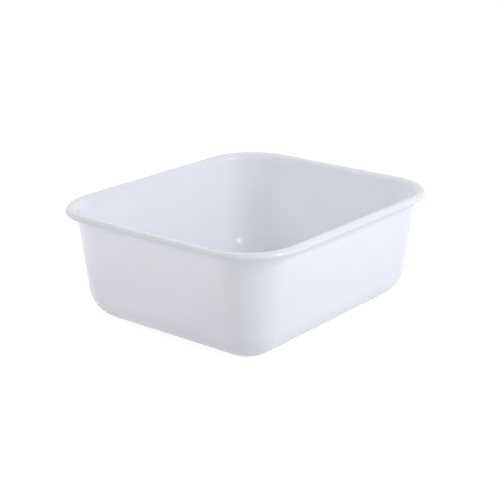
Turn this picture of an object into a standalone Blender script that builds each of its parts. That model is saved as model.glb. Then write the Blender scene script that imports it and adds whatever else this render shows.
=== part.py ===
"""A dish tub: an open rectangular washing-up tub, moulded in one piece from white plastic.

The tub is a sheet of one thickness, bent all the way from the floor, round the base fillet, up the
drafted wall and over the rolled rim to its skirt. Its section is worked out once. Every point of it
becomes a ring round the tub, a rounded rectangle at that point's height, and neighbouring rings are
joined. The corners of all the rings from the floor's edge to the rim share one upright axis, so wall,
fillet and rim keep their section round the corners.

Metres, +Z up. X runs along the longer side. The origin is at the middle of the base, on the surface
that the tub stands on.
"""

import math
from collections import namedtuple

import bmesh
import bpy
from mathutils import Vector

# Overall sizes, measured over the rolled rim and from the foot ring to the crest of the rim.
LENGTH = 0.368
WIDTH = 0.313
HEIGHT = 0.134

# Plan corner of the flat floor. The rim's corner is larger by what the wall and the rim reach out.
FLOOR_CORNER = 0.0057

# The moulded sheet, and how far the walls lean out so that the tub leaves its mould and nests in another.
WALL = 0.002
DRAFT = math.radians(7.0)

# Inside radii of the bends: the base fillet, the easy roll off the wall and the tight one over the
# rim's outer edge.
BASE_BEND = 0.0374
RIM_INNER_BEND = 0.0072
RIM_OUTER_BEND = 0.0034
RIM_SKIRT = 0.0006

# Panel in the middle of the floor, raised so that the tub stands on the flat ring left round it.
FOOT_WIDTH = 0.012
PANEL_CORNER = 0.012
PANEL_RISE = 0.0008
STEP_BEND = 0.001

# How finely the round stretches are drawn.
CORNER_STEPS = 16
BEND_STEPS = 8
STEP_STEPS = 2

# The way that the sheet's upper face looks, in the section, from upwards on the floor to outwards.
OUT = 0.0
UP = math.radians(90.0)
WALL_FACING = math.radians(180.0) - DRAFT

PLASTIC_COLOUR = (0.86, 0.88, 0.95, 1.0)
PLASTIC_ROUGHNESS = 0.2

# A rounded rectangle in plan.
Outline = namedtuple("Outline", "half_length half_width corner")


def facing(angle):
    """Unit vector in the section: 0 points away from the middle of the tub, a quarter turn points up."""
    return Vector((math.cos(angle), math.sin(angle)))


def bend(centre, radius, start, end, steps):
    """Points on an arc of the upper face, each with the way that the face looks there.

    The centre lies under the face where it is round, as on the rim, and over it where it is hollow, as
    in the base fillet. A hollow arc has a negative radius."""
    angles = [start + (end - start) * step / steps for step in range(steps + 1)]
    return [(centre + facing(angle) * radius, angle) for angle in angles]


def step_face():
    """Upper face of the step down from the panel. Distances run outwards from the panel's edge."""
    crest_radius = STEP_BEND + WALL
    tip = math.acos(1.0 - PANEL_RISE / (crest_radius + STEP_BEND))
    crest_centre = Vector((0.0, WALL + PANEL_RISE - crest_radius))
    crest = bend(crest_centre, crest_radius, UP, UP - tip, STEP_STEPS)
    foot_centre = crest_centre + facing(UP - tip) * (crest_radius + STEP_BEND)
    foot = bend(foot_centre, -STEP_BEND, UP - tip, UP, STEP_STEPS)
    return crest + foot[1:]


def wall_face():
    """Upper face from the flat floor's edge to the skirt of the rim, at distances out from that edge."""
    fillet = bend(Vector((0.0, WALL + BASE_BEND)), -BASE_BEND, UP, WALL_FACING, BEND_STEPS)
    wall_foot = fillet[-1][0]

    inner_radius = RIM_INNER_BEND + WALL
    wall_rise = HEIGHT - inner_radius + inner_radius * math.sin(WALL_FACING) - wall_foot.y
    wall_top = wall_foot + Vector((wall_rise * math.tan(DRAFT), wall_rise))
    inner_centre = wall_top - facing(WALL_FACING) * inner_radius
    inner_roll = bend(inner_centre, inner_radius, WALL_FACING, UP, BEND_STEPS)

    outer_radius = RIM_OUTER_BEND + WALL
    outer_centre = inner_roll[-1][0] - facing(UP) * outer_radius
    outer_roll = bend(outer_centre, outer_radius, UP, OUT, BEND_STEPS)
    skirt_bottom = outer_roll[-1][0] - facing(UP) * RIM_SKIRT
    return fillet + inner_roll + outer_roll[1:] + [(skirt_bottom, OUT)]


def ring(bm, outline, point):
    """Loop of vertices round the tub: the outline grown by the point's distance, at its height."""
    radius = outline.corner + point.x
    axis_x = outline.half_length - outline.corner
    axis_y = outline.half_width - outline.corner
    verts = []
    for quarter, (side_x, side_y) in enumerate(((1, 1), (-1, 1), (-1, -1), (1, -1))):
        for step in range(CORNER_STEPS + 1):
            turn = math.radians(90.0) * (quarter + step / CORNER_STEPS)
            x = side_x * axis_x + radius * math.cos(turn)
            y = side_y * axis_y + radius * math.sin(turn)
            verts.append(bm.verts.new((x, y, point.y)))
    return verts


def join_rings(bm, ring_a, ring_b):
    """Strip of faces between two neighbouring rings."""
    for index in range(len(ring_a)):
        following = (index + 1) % len(ring_a)
        bm.faces.new((ring_a[index], ring_a[following], ring_b[following], ring_b[index]))


def plastic():
    """Glossy white moulded plastic."""
    material = bpy.data.materials.new("white_plastic")
    material.use_nodes = True
    shader = material.node_tree.nodes["Principled BSDF"]
    shader.inputs["Base Color"].default_value = PLASTIC_COLOUR
    shader.inputs["Roughness"].default_value = PLASTIC_ROUGHNESS
    shader.inputs["Metallic"].default_value = 0.0
    return material


def build_tub():
    """The whole tub as one closed shell, from the floor panel over the rim and back under the panel."""
    step = step_face()
    wall = wall_face()
    wall_reach = max(point.x for point, angle in wall)
    step_reach = step[-1][0].x

    floor = Outline(LENGTH / 2 - wall_reach, WIDTH / 2 - wall_reach, FLOOR_CORNER)
    panel_inset = FOOT_WIDTH + step_reach
    panel = Outline(floor.half_length - panel_inset, floor.half_width - panel_inset, PANEL_CORNER)

    face = [(panel, point, angle) for point, angle in step]
    face += [(floor, point, angle) for point, angle in wall]
    upper = [(outline, point) for outline, point, angle in face]
    under = [(outline, point - facing(angle) * WALL) for outline, point, angle in face]

    bm = bmesh.new()
    rings = [ring(bm, outline, point) for outline, point in upper + under[::-1]]
    for ring_a, ring_b in zip(rings, rings[1:]):
        join_rings(bm, ring_a, ring_b)
    bm.faces.new(rings[0])
    bm.faces.new(rings[-1])
    bmesh.ops.recalc_face_normals(bm, faces=bm.faces)

    mesh = bpy.data.meshes.new("tub")
    bm.to_mesh(mesh)
    bm.free()
    mesh.shade_smooth()
    mesh.set_sharp_from_angle(angle=math.radians(35.0))
    mesh.materials.append(plastic())

    tub = bpy.data.objects.new("tub", mesh)
    bpy.context.scene.collection.objects.link(tub)
    return tub


for leftover in list(bpy.data.objects):
    bpy.data.objects.remove(leftover)

build_tub()
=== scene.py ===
"""A dish tub in cool white plastic: its looks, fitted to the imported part, on a white ground."""

import math

import bmesh
import bpy
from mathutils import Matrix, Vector


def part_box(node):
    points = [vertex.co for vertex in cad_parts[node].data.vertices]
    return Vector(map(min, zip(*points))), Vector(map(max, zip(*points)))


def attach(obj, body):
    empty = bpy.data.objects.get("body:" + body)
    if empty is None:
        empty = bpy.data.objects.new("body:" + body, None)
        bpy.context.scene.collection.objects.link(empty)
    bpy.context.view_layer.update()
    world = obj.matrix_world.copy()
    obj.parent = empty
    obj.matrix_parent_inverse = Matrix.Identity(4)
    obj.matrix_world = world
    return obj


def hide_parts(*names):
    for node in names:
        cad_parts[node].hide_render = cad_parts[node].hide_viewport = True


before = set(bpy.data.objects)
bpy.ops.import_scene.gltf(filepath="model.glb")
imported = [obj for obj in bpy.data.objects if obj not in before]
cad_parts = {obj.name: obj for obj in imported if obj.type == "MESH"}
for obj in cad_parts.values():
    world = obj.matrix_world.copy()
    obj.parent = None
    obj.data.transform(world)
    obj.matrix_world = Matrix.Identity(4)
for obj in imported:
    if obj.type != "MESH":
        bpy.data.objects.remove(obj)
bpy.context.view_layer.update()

# Tub
# An open washing-up tub, injection moulded in one shot from glossy white polypropylene. Floor, walls and
# rim are one sheet of one thickness. The rim is the wall rolled over to the outside, and it is open below
# like a channel.

WALL = 0.002
WALL_SLOPE = math.radians(83.0)
FLOOR_CORNER = 0.0057
BASE_RADIUS = 0.0374
RIM_INNER_RADIUS = 0.0092
RIM_OUTER_RADIUS = 0.0054
RIM_DEPTH = 0.006
QUARTER_TURN = math.radians(90.0)
CORNER_STEPS = 48
BEND_STEPS = 20
MERGE = 1e-5

tub_high = Vector(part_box("tub")[1])
middle = Vector((0.0, 0.0, tub_high.z / 2))


def round_corner(bm, vert, radius, turn):
    """Rounds a vertex of the line to the radius. The line turns there by the given angle."""
    bmesh.ops.bevel(bm, geom=[vert], offset=radius * math.tan(turn / 2), offset_type="OFFSET",
                    segments=BEND_STEPS, profile=0.5, affect="VERTICES", material=-1)


def only(kind, items):
    """The items that are vertices, or edges."""
    return [item for item in items if isinstance(item, kind)]


def turn_corner(bm, line, axis):
    """Spins the line a quarter circle about a corner's upright axis, and returns where it ends."""
    return bmesh.ops.spin(bm, geom=line, cent=axis, axis=(0.0, 0.0, 1.0), angle=QUARTER_TURN,
                          steps=CORNER_STEPS, use_merge=False)["geom_last"]


def draw_side(bm, line, way):
    """Extrudes the line straight along a side, and returns where it ends."""
    drawn = bmesh.ops.extrude_edge_only(bm, edges=only(bmesh.types.BMEdge, line))["geom"]
    verts = only(bmesh.types.BMVert, drawn)
    bmesh.ops.translate(bm, verts=verts, vec=way)
    return verts + only(bmesh.types.BMEdge, drawn)


# The sheet's upper face, as a line from the floor's edge, up the wall and over the rim to the bottom of
# its skirt.
wall_foot = FLOOR_CORNER + BASE_RADIUS * math.tan(WALL_SLOPE / 2)
wall_top = wall_foot + (tub_high.z - WALL) / math.tan(WALL_SLOPE)
rim_edge = wall_top + RIM_INNER_RADIUS * math.tan(WALL_SLOPE / 2) + RIM_OUTER_RADIUS
skirt_height = tub_high.z - RIM_DEPTH

tub = bmesh.new()
verts = [tub.verts.new((x, 0.0, z)) for x, z in (
    (FLOOR_CORNER, WALL),
    (wall_foot, WALL),
    (wall_top, tub_high.z),
    (rim_edge, tub_high.z),
    (rim_edge, skirt_height),
)]
for pair in zip(verts, verts[1:]):
    tub.edges.new(pair)
round_corner(tub, verts[1], BASE_RADIUS, WALL_SLOPE)
round_corner(tub, verts[2], RIM_INNER_RADIUS, WALL_SLOPE)
round_corner(tub, verts[3], RIM_OUTER_RADIUS, QUARTER_TURN)
bmesh.ops.remove_doubles(tub, verts=tub.verts, dist=MERGE)

# The line goes once round the tub.
axis_x, axis_y = tub_high.x - rim_edge, tub_high.y - rim_edge
axes = [
    Vector((way_x * axis_x, way_y * axis_y, 0.0))
    for way_x, way_y in ((1, 1), (-1, 1), (-1, -1), (1, -1))
]
bmesh.ops.translate(tub, verts=tub.verts, vec=axes[0])
line = list(tub.verts) + list(tub.edges)
for axis, next_axis in zip(axes, axes[1:] + axes[:1]):
    line = turn_corner(tub, line, axis)
    line = draw_side(tub, line, next_axis - axis)
bmesh.ops.remove_doubles(tub, verts=tub.verts, dist=MERGE)
floor_edge = [edge for edge in tub.edges if edge.is_boundary and edge.verts[0].co.z < middle.z]

# The floor panel stands a little higher than the ring round it, so that the tub rests on the ring. It
# starts as a square of side 1.
FOOT_WIDTH = 0.012
PANEL_RISE = 0.0008
PANEL_CORNER = 0.0144
STEP_WIDTH = 0.0011
STEP_ROUNDING = 0.0005
STEP_SEGMENTS = 4

panel = bmesh.ops.create_grid(tub, x_segments=1, y_segments=1, size=0.5)["verts"]
panel_length = 2 * (axis_x + FLOOR_CORNER - FOOT_WIDTH)
panel_width = 2 * (axis_y + FLOOR_CORNER - FOOT_WIDTH)
bmesh.ops.scale(tub, verts=panel, vec=(panel_length, panel_width, 1.0))
bmesh.ops.translate(tub, verts=panel, vec=(0.0, 0.0, WALL))
bmesh.ops.bevel(tub, geom=panel, offset=PANEL_CORNER, offset_type="OFFSET", segments=CORNER_STEPS,
                profile=0.5, affect="VERTICES", material=-1)
panel_face = next(face for face in tub.faces if len(face.verts) > 4)
bmesh.ops.inset_region(tub, faces=[panel_face], use_boundary=True, use_even_offset=True,
                       thickness=STEP_WIDTH, depth=PANEL_RISE)
crest = list(panel_face.edges)
foot = [
    edge for face in tub.faces for edge in face.edges
    if edge.is_boundary and edge.verts[0].co.z < middle.z and edge not in floor_edge
]
bmesh.ops.bridge_loops(tub, edges=floor_edge + foot)
bmesh.ops.recalc_face_normals(tub, faces=tub.faces)
bmesh.ops.bevel(tub, geom=crest + foot, offset=STEP_ROUNDING, offset_type="OFFSET",
                segments=STEP_SEGMENTS, profile=0.5, affect="EDGES", material=-1)

# The sheet gets its thickness on the side away from the water, and the skirt's cut edge is softened.
CUT_ANGLE = math.radians(45.0)
SKIRT_EDGE = 0.0004
SKIRT_SEGMENTS = 3

bmesh.ops.solidify(tub, geom=tub.faces[:], thickness=WALL)
skirt_edges = [
    edge for edge in tub.edges
    if all(abs(vert.co.z - skirt_height) < MERGE for vert in edge.verts)
    and edge.calc_face_angle() > CUT_ANGLE
]
bmesh.ops.bevel(tub, geom=skirt_edges, offset=SKIRT_EDGE, offset_type="OFFSET",
                segments=SKIRT_SEGMENTS, profile=0.5, affect="EDGES", material=-1)

tub_mesh = bpy.data.meshes.new("tub_shell")
tub.to_mesh(tub_mesh)
tub.free()
tub_mesh.shade_smooth()
tub_shell = bpy.data.objects.new("tub_shell", tub_mesh)
bpy.context.scene.collection.objects.link(tub_shell)
keep_flats = tub_shell.modifiers.new("keep_flats", "WEIGHTED_NORMAL")
keep_flats.keep_sharp = True
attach(tub_shell, "root")
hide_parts("tub")


class Value:
    """What a shader node gives out. Arithmetic on values adds the Math nodes for it."""

    def __init__(self, paint, socket):
        self.paint = paint
        self.socket = socket

    def output(self, name):
        """Another thing that the same node gives out."""
        return Value(self.paint, self.socket.node.outputs[name])

    def math(self, operation, *others):
        """A Math node on this value and the others."""
        return self.paint.node("Math", {"operation": operation}, (self, *others))

    def __add__(self, other):
        return self.math("ADD", other)

    def __sub__(self, other):
        return self.math("SUBTRACT", other)

    def __rsub__(self, other):
        return self.paint.node("Math", {"operation": "SUBTRACT"}, (other, self))

    def __mul__(self, other):
        return self.math("MULTIPLY", other)

    __radd__ = __add__
    __rmul__ = __mul__


class Paint:
    """The nodes of a material or of the world."""

    def __init__(self, owner):
        owner.use_nodes = True
        self.tree = owner.node_tree
        self.tree.nodes.clear()

    def node(self, kind, settings=None, inputs=(), output=0):
        """A node with its settings made first, then its sockets set or linked, by place or by name."""
        made = self.tree.nodes.new("ShaderNode" + kind)
        for name, setting in (settings or {}).items():
            setattr(made, name, setting)
        sockets = inputs.items() if isinstance(inputs, dict) else enumerate(inputs)
        for name, value in sockets:
            if isinstance(value, Value):
                self.tree.links.new(value.socket, made.inputs[name])
            else:
                made.inputs[name].default_value = value
        return Value(self, made.outputs[output]) if made.outputs else None

    def stretched(self, place, turn, stretch):
        """A place for a pattern that is turned about the upright axis and drawn out along its own axes."""
        sockets = {"Vector": place, "Rotation": (0.0, 0.0, turn), "Scale": stretch}
        return self.node("Mapping", {"vector_type": "TEXTURE"}, sockets)

    def noise(self, place, width, detail=2.0):
        """Soft random blotches of about the given width, from 0 to 1."""
        sockets = {"Vector": place, "Scale": 1.0 / width, "Detail": detail}
        return self.node("TexNoise", {}, sockets)

    def mask(self, value, nothing, whole):
        """0 where the value is at nothing, 1 where it is at whole, and eased in between."""
        sockets = {"Value": value, "From Min": nothing, "From Max": whole}
        return self.node("MapRange", {"interpolation_type": "SMOOTHSTEP"}, sockets)

    def blend(self, share, colour_a, colour_b):
        """From the first colour to the second by the share."""
        return self.node("Mix", {"data_type": "RGBA"}, {0: share, 6: colour_a, 7: colour_b}, 2)


# The plastic is a cool white that light enters a little way. It is glossy, and shows what moulding and
# washing up leave on it: cloudy tone, draw marks up the walls, fine scratches in the basin, a scuffed
# foot. A named pair of numbers says where a mask is nothing and where it is whole.
PLASTIC_COLOUR = (0.868, 0.892, 0.972, 1.0)
CLOUD_COLOUR = (0.85, 0.876, 0.962, 1.0)
SCUFF_COLOUR = (0.8, 0.81, 0.84, 1.0)
LIGHT_DEPTH = 0.007
SPECULAR = 0.42

plastic = bpy.data.materials.new("white_plastic")
paint = Paint(plastic)
place = paint.node("TexCoord", output="Object")
height = paint.node("SeparateXYZ", inputs=(place,), output="Z")

# Tone: clouds where the melt flowed, and draw marks where the tub slid off its mould.
CLOUD_WIDTH = 0.07
CLOUD_DETAIL = 3.0
MARK_WIDTH = 0.0035
MARK_STRETCH = 30.0
MARK_TONE = 0.3
WALL_BEGINS = (0.02, 0.05)
WALL_ENDS = (tub_high.z, tub_high.z - 0.02)
CLOUD_REACH = (0.35, 0.8)

upright = paint.stretched(place, 0.0, (1.0, 1.0, MARK_STRETCH))
wall_zone = paint.mask(height, *WALL_BEGINS) * paint.mask(height, *WALL_ENDS)
marks = paint.noise(upright, MARK_WIDTH) * wall_zone
cloud = paint.noise(place, CLOUD_WIDTH, CLOUD_DETAIL)
clouded = paint.mask(cloud + marks * MARK_TONE, *CLOUD_REACH)
tone = paint.blend(clouded, PLASTIC_COLOUR, CLOUD_COLOUR)

# Scratches: thin lines across the basin's floor and a little way up, this way and that.
SCRATCH_LENGTH = 0.12
SCRATCH_SPACING = 0.0012
SCRATCH_TURNS = (25.0, -50.0, 80.0)
SCRATCH_REACH = (0.66, 0.74)
OVER_FLOOR = (0.0012, 0.0018)
LOW_IN_BASIN = (0.03, 0.006)

over_floor = paint.mask(height, *OVER_FLOOR)
basin_zone = over_floor * paint.mask(height, *LOW_IN_BASIN)
scratches = 0.0
for turn in SCRATCH_TURNS:
    way = paint.stretched(place, math.radians(turn), (SCRATCH_LENGTH / SCRATCH_SPACING, 1.0, 1.0))
    scratches = paint.mask(paint.noise(way, SCRATCH_SPACING), *SCRATCH_REACH) + scratches
scratches = scratches * basin_zone

# Underside: the foot is scuffed where it rubs, and the mould's gate left a nub in a shallow ring in the
# middle.
AT_FOOT = (0.0006, 0.0001)
FOOT_SCUFF_WIDTH = 0.002
FOOT_SCUFF_DETAIL = 6.0
FOOT_SCUFF_REACH = (0.3, 0.7)
UNDER_FLOOR = (0.0014, 0.0010)
GATE_RING = 0.008
GATE_LINE = 0.0008
GATE_NUB = 0.0024

rubbed = paint.noise(place, FOOT_SCUFF_WIDTH, FOOT_SCUFF_DETAIL)
foot_scuffs = paint.mask(height, *AT_FOOT) * paint.mask(rubbed, *FOOT_SCUFF_REACH)
level = paint.node("Mapping", {}, {"Vector": place, "Scale": (1.0, 1.0, 0.0)})
from_middle = paint.node("VectorMath", {"operation": "LENGTH"}, (level,), "Value")
from_ring = (from_middle - GATE_RING).math("ABSOLUTE")
gate_ring = paint.mask(from_ring, GATE_LINE, 0.0)
gate_nub = paint.mask(from_middle, GATE_NUB, GATE_NUB / 2)
under_floor = paint.mask(height, *UNDER_FLOOR)

# Relief, in metres: the mould's fine peel, slow waves where the walls shrank as they cooled, and the
# marks above.
PEEL_WIDTH = 0.0012
PEEL_DEPTH = 0.000003
WAVE_WIDTH = 0.1
WAVE_DEPTH = 0.00012
MARK_DEPTH = 0.000006
SCRATCH_DEPTH = 0.00001
NUB_HEIGHT = 0.0002
RING_DEPTH = 0.0001

relief = (
    paint.noise(place, PEEL_WIDTH) * PEEL_DEPTH
    + paint.noise(place, WAVE_WIDTH) * WAVE_DEPTH
    + marks * MARK_DEPTH
    - scratches * SCRATCH_DEPTH
    + (gate_nub * NUB_HEIGHT - gate_ring * RING_DEPTH) * under_floor
)

# Gloss: the tub is duller low down, where it is washed most, and where it is scuffed. On the walls the
# roughness stays under 0.28, past which a faint line shows in the render.
CLEAN_ROUGHNESS = 0.15
CLOUD_ROUGHNESS = 0.03
WASHED_ROUGHNESS = 0.1
SCUFF_ROUGHNESS = 0.25
SCRATCH_SCUFF = 0.25
FOOT_SCUFF = 0.6
WASHED_MOST = (0.09, 0.05)

washed = over_floor * paint.mask(height, *WASHED_MOST)
scuffs = scratches * SCRATCH_SCUFF + foot_scuffs * FOOT_SCUFF
roughness = (
    cloud * CLOUD_ROUGHNESS
    + scuffs * SCUFF_ROUGHNESS
    + washed * WASHED_ROUGHNESS
    + CLEAN_ROUGHNESS
)

surface = paint.node("BsdfPrincipled", {}, {
    "Base Color": paint.blend(scuffs, tone, SCUFF_COLOUR),
    "Roughness": roughness,
    "Normal": paint.node("Bump", {}, {"Distance": 1.0, "Height": relief}),
    "Specular IOR Level": SPECULAR,
    "Subsurface Weight": 1.0,
    "Subsurface Radius": (1.0, 1.0, 1.0),
    "Subsurface Scale": LIGHT_DEPTH,
})
paint.node("OutputMaterial", {}, {"Surface": surface})
tub_mesh.materials.append(plastic)

# Floor
# The photographer's white ground, a plain pale sheet. It shows white to the camera and keeps the tub's
# soft shadow, and towards the tub it is no brighter than paper. It lies a hair below the foot, so that
# the foot's flat ring doesn't share its plane.

FLOOR_SIZE = 16.0
FLOOR_GAP = 0.0002
FLOOR_COLOUR = (0.65, 0.65, 0.65, 1.0)
FLOOR_WHITE = 1.6
WHITE_SHARE = 0.55

floor_mesh = bpy.data.meshes.new("floor")
floor = bmesh.new()
sheet = bmesh.ops.create_grid(floor, x_segments=1, y_segments=1, size=FLOOR_SIZE / 2)["verts"]
bmesh.ops.translate(floor, verts=sheet, vec=(0.0, 0.0, -FLOOR_GAP))
floor.to_mesh(floor_mesh)
floor.free()
floor_object = bpy.data.objects.new("floor", floor_mesh)
bpy.context.scene.collection.objects.link(floor_object)


def seen_directly(paint):
    """1 for what is seen by the camera, in a gloss or through something clear, and 0 for light thrown on
    other things."""
    camera_ray = paint.node("LightPath", output="Is Camera Ray")
    seen = camera_ray.math("MAXIMUM", camera_ray.output("Is Glossy Ray"))
    return seen.math("MAXIMUM", camera_ray.output("Is Transmission Ray"))


pale_floor = bpy.data.materials.new("pale_floor")
paint = Paint(pale_floor)
matt = paint.node("BsdfDiffuse", {}, {"Color": FLOOR_COLOUR})
white = paint.node("Emission", {}, {"Strength": FLOOR_WHITE})
ground = paint.node("MixShader", {}, (seen_directly(paint) * WHITE_SHARE, matt, white))
paint.node("OutputMaterial", {}, {"Surface": ground})
floor_mesh.materials.append(pale_floor)

# Tent
# A light tent of plain white cloth stands round the tub and glows evenly. The camera and the tub's gloss
# see it white.

TENT_WHITE = (1.0, 1.0, 1.0, 1.0)
TENT_GLOW = 0.4

tent = bpy.data.worlds.new("tent")
paint = Paint(tent)
glow = seen_directly(paint) * (1.0 - TENT_GLOW) + TENT_GLOW
light = paint.node("Background", {}, {"Color": TENT_WHITE, "Strength": glow})
paint.node("OutputWorld", {}, {"Surface": light})
bpy.context.scene.world = tent

# Lamps
# Soft boxes on stands round the tent. The wide key leaves the bright spots on the rim and in the basin.
# The low ones light the walls, and the ones behind show how the plastic lets light through.

LAMP_DISTANCE = 2.6
COOL = (0.94, 0.97, 1.09)
WARM = (1.06, 0.97, 0.97)
ROSE = (1.0, 0.94, 1.07)
FRESH = (0.97, 1.05, 0.98)


def soft_box(name, bearing, elevation, width, height, watts, colour, bare=False):
    """A lamp that faces the tub from the given bearing and elevation, in degrees. A bare one stands inside
    the tent, and the tub's gloss shows it."""
    lamp = bpy.data.lights.new(name, "AREA")
    lamp.shape = "RECTANGLE"
    lamp.size = width
    lamp.size_y = height
    lamp.energy = watts
    lamp.color = colour
    lamp_object = bpy.data.objects.new(name, lamp)
    turn, lift = math.radians(bearing), math.radians(elevation)
    way = Vector((math.cos(turn) * math.cos(lift), math.sin(turn) * math.cos(lift), math.sin(lift)))
    lamp_object.location = way * LAMP_DISTANCE + middle
    lamp_object.rotation_euler = way.to_track_quat("Z", "Y").to_euler()
    lamp_object.visible_glossy = bare
    bpy.context.scene.collection.objects.link(lamp_object)


soft_box("key", 285.0, 37.0, 0.8, 0.4, 22.0, COOL, bare=True)
soft_box("front_low", 290.0, 8.0, 0.7, 0.7, 13.0, COOL)
soft_box("corner_low", 230.0, 8.0, 0.7, 0.7, 4.4, ROSE)
soft_box("left", 145.0, 30.0, 0.7, 0.7, 7.2, WARM)
soft_box("left_low", 128.0, 8.0, 0.9, 0.9, 9.8, ROSE)
soft_box("back", 42.0, 45.0, 0.7, 0.7, 11.8, FRESH)
soft_box("back_low", 10.0, 10.0, 0.7, 0.7, 5.0, FRESH)

# Camera
# It looks down over the tub's near corner, as in the photograph, from about a metre and a half away. It
# aims at the tub's middle, and a slight shift sets the tub in the frame.

CAMERA_AZIMUTH = math.radians(-51.38)
CAMERA_ELEVATION = math.radians(18.58)
CAMERA_DISTANCE = 1.478
FOCAL_LENGTH = 90.33
FILM_WIDTH = 36.0
SHIFT_ACROSS = -0.0003
SHIFT_UP = 0.0009

camera = bpy.data.cameras.new("camera")
camera.lens = FOCAL_LENGTH
camera.sensor_width = FILM_WIDTH
camera.shift_x = SHIFT_ACROSS
camera.shift_y = SHIFT_UP
camera_object = bpy.data.objects.new("camera", camera)
back = Vector((
    math.sin(CAMERA_AZIMUTH) * math.cos(CAMERA_ELEVATION),
    -math.cos(CAMERA_AZIMUTH) * math.cos(CAMERA_ELEVATION),
    math.sin(CAMERA_ELEVATION),
))
camera_object.location = back * CAMERA_DISTANCE + middle
camera_object.rotation_euler = (QUARTER_TURN - CAMERA_ELEVATION, 0.0, CAMERA_AZIMUTH)
bpy.context.scene.collection.objects.link(camera_object)
bpy.context.scene.camera = camera_object

bpy.context.scene.view_settings.view_transform = "Standard"
